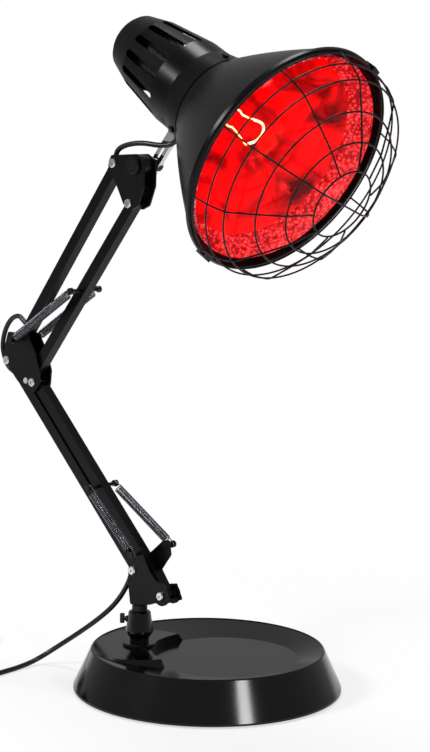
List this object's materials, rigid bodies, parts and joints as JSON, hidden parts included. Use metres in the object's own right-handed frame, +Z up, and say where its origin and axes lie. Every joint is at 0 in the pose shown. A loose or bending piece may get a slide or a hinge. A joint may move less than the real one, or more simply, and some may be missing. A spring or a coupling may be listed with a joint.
{
  "type": "infrared desk lamp",
  "caption": "Black spring balanced double arm desk lamp with a red infrared heat bulb, a vented flared shade, a domed wire guard and a round weighted base",
  "frame": {"origin": "centre of the round base, at the underside of its pad", "axes": "+Z is up, +X is the way the bars lean and the head faces, +Y is to the left of that"},
  "size_m": [0.3867, 0.2476, 0.4956],
  "materials": {
    "black_powder": "satin black powder coat",
    "black_zinc": "black zinc plating",
    "bright_steel": "bright zinc plating",
    "chrome": "bright chrome plating",
    "cast_weight": "as cast",
    "spring_steel": "blackened spring wire",
    "guard_wire": "black coated wire",
    "cord_vinyl": "smooth black vinyl",
    "plug_plastic": "moulded black",
    "pad_foam": "closed cell foam",
    "nylon": "black nylon",
    "brass": "stamped and plated",
    "lampholder_ceramic": "glazed porcelain",
    "bulb_cap_aluminium": "rolled thread",
    "red_glass": "red filter glass, stippled rim",
    "clear_glass": "clear",
    "hot_tungsten": "glowing filament"
  },
  "bodies": {
    "base": {"base_shell": "black_powder", "base_weight": "cast_weight", "bottom_plate": "bright_steel", "base_screws": "bright_steel", "base_pad": "pad_foam", "post_socket": "black_powder", "socket_nut": "bright_steel", "supply_cord": "cord_vinyl", "cord_coil": "cord_vinyl", "plug_body": "plug_plastic", "plug_blades": "brass"},
    "socket_screw": {"thumb_screw": "black_zinc"},
    "turret": {"swivel_stem": "black_powder", "bracket_block": "black_powder", "lower_bracket_front": "black_powder", "lower_bracket_rear": "black_powder", "bracket_spring_studs": "black_zinc", "lower_pivot_bolts": "bright_steel", "lower_pivot_nuts": "bright_steel", "lower_pivot_washers": "nylon"},
    "lower_back_arm": {"lower_back_bar": "black_powder", "lower_cord": "cord_vinyl"},
    "lower_front_arm": {"lower_front_bar": "black_powder", "lower_spring_pin": "black_zinc", "lower_spring_front": "spring_steel", "lower_spring_rear": "spring_steel"},
    "elbow": {"elbow_front_plate": "black_powder", "elbow_rear_plate": "black_powder", "elbow_bolts": "bright_steel", "elbow_nuts": "bright_steel", "elbow_washers": "nylon", "elbow_rivet": "black_zinc", "elbow_spring_studs": "black_zinc"},
    "upper_back_arm": {"upper_back_bar": "black_powder", "upper_cord": "cord_vinyl"},
    "upper_front_arm": {"upper_front_bar": "black_powder", "upper_spring_pin": "black_zinc", "upper_spring_front": "spring_steel", "upper_spring_rear": "spring_steel"},
    "head_bracket": {"head_bracket_front": "black_powder", "head_bracket_rear": "black_powder", "head_bracket_bolts": "bright_steel", "head_bracket_nuts": "bright_steel", "head_bracket_washers": "nylon"},
    "head": {"clamp_barrel": "black_zinc", "chrome_arm": "chrome", "tilt_bolt": "black_zinc", "shade": "black_powder", "vented_cap": "black_powder", "cap_screws": "bright_steel", "cord_gland": "cord_vinyl", "lampholder": "lampholder_ceramic", "holder_contacts": "brass", "bulb_base": "bulb_cap_aluminium", "bulb_envelope": "red_glass", "glass_stem": "clear_glass", "filament": "hot_tungsten", "wire_guard": "guard_wire", "guard_clips": "guard_wire"},
    "tilt_nut": {"tilt_nut": "plug_plastic"}
  },
  "joints": [
    {"name": "socket_screw_turn", "type": "hinge", "parent": "base", "child": "socket_screw", "pos_m": [-0.04351, -0.02847, 0.0495], "axis": [-0.9397, -0.342, 0], "continuous": true},
    {"name": "swivel", "type": "hinge", "parent": "base", "child": "turret", "pos_m": [-0.04351, -0.02847, 0.05], "axis": [0, 0, 1], "range_deg": [-120, 120], "deforming": ["supply_cord"]},
    {"name": "lower_arm", "type": "hinge", "parent": "turret", "child": "lower_back_arm", "pos_m": [-0.0445, -0.02847, 0.0883], "axis": [0, -1, 0], "range_deg": [-45, 1]},
    {"name": "lower_front_pivot", "type": "hinge", "parent": "turret", "child": "lower_front_arm", "pos_m": [-0.01565, -0.02847, 0.0737], "axis": [0, -1, 0], "range_deg": [-50, 10], "deforming": ["lower_spring_front", "lower_spring_rear"]},
    {"name": "elbow_pivot", "type": "hinge", "parent": "lower_back_arm", "child": "elbow", "pos_m": [-0.1829, -0.02847, 0.2331], "axis": [0, -1, 0], "range_deg": [-10, 50], "deforming": ["lower_cord"]},
    {"name": "upper_arm", "type": "hinge", "parent": "elbow", "child": "upper_back_arm", "pos_m": [-0.1829, -0.02847, 0.2331], "axis": [0, -1, 0], "range_deg": [-22, 23]},
    {"name": "head_bracket_pivot", "type": "hinge", "parent": "upper_back_arm", "child": "head_bracket", "pos_m": [-0.0683, -0.02847, 0.3891], "axis": [0, -1, 0], "range_deg": [-30, 30], "deforming": ["upper_cord"]},
    {"name": "upper_front_pivot", "type": "hinge", "parent": "elbow", "child": "upper_front_arm", "pos_m": [-0.1611, -0.02847, 0.2192], "axis": [0, -1, 0], "range_deg": [-30, 30], "deforming": ["upper_spring_front", "upper_spring_rear"]},
    {"name": "head_tilt", "type": "hinge", "parent": "head_bracket", "child": "head", "pos_m": [-0.0469, -0.02847, 0.388], "axis": [0, -1, 0], "range_deg": [-40, 40]},
    {"name": "tilt_nut_turn", "type": "hinge", "parent": "head", "child": "tilt_nut", "pos_m": [-0.0469, -0.02847, 0.388], "axis": [0, -1, 0], "continuous": true}
  ],
  "couplings": [
    {"joint": "lower_front_pivot", "follows": "lower_arm", "ratio": 1},
    {"joint": "elbow_pivot", "follows": "lower_arm", "ratio": -1},
    {"joint": "head_bracket_pivot", "follows": "upper_arm", "ratio": -0.85},
    {"joint": "upper_front_pivot", "follows": "upper_arm", "ratio": 1.0746}
  ]
}
